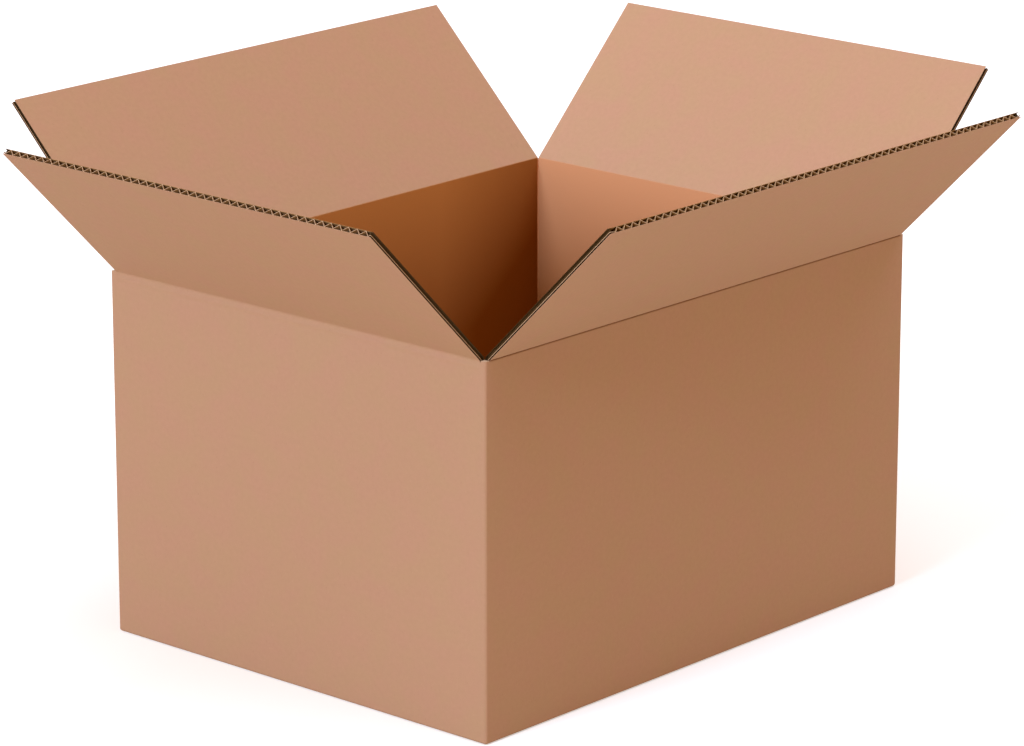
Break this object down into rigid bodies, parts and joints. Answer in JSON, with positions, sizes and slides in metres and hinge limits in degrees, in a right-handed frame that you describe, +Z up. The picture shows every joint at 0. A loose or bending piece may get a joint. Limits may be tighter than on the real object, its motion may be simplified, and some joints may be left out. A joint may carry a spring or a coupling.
{
  "type": "open corrugated carton",
  "caption": "Open corrugated carton, upright, with its top flaps folded outwards to stand at an angle; glued floor.",
  "frame": {"origin": "On the ground plane under the middle of the carton.", "axes": "+X along the long side, +Y along the short side, +Z up out of the open mouth."},
  "size_m": [0.6668, 0.5668, 0.3783],
  "materials": {
    "kraft_board": "matt unbleached kraft paper"
  },
  "bodies": {
    "carton": {"carton": "kraft_board"},
    "front_side_flap": {"front_side_flap": "kraft_board"},
    "back_side_flap": {"back_side_flap": "kraft_board"},
    "left_end_flap": {"left_end_flap": "kraft_board"},
    "right_end_flap": {"right_end_flap": "kraft_board"}
  },
  "joints": [
    {"name": "front_side_crease", "type": "hinge", "parent": "carton", "child": "front_side_flap", "pos_m": [0, -0.17793, 0.2729], "axis": [1, 0, 0], "range_deg": [-135, 105]},
    {"name": "back_side_crease", "type": "hinge", "parent": "carton", "child": "back_side_flap", "pos_m": [0, 0.17793, 0.2729], "axis": [-1, 0, 0], "range_deg": [-135, 105]},
    {"name": "left_end_crease", "type": "hinge", "parent": "carton", "child": "left_end_flap", "pos_m": [-0.2285, 0, 0.2705], "axis": [0, -1, 0], "range_deg": [-135, 120]},
    {"name": "right_end_crease", "type": "hinge", "parent": "carton", "child": "right_end_flap", "pos_m": [0.2285, 0, 0.2705], "axis": [0, 1, 0], "range_deg": [-135, 120]}
  ]
}
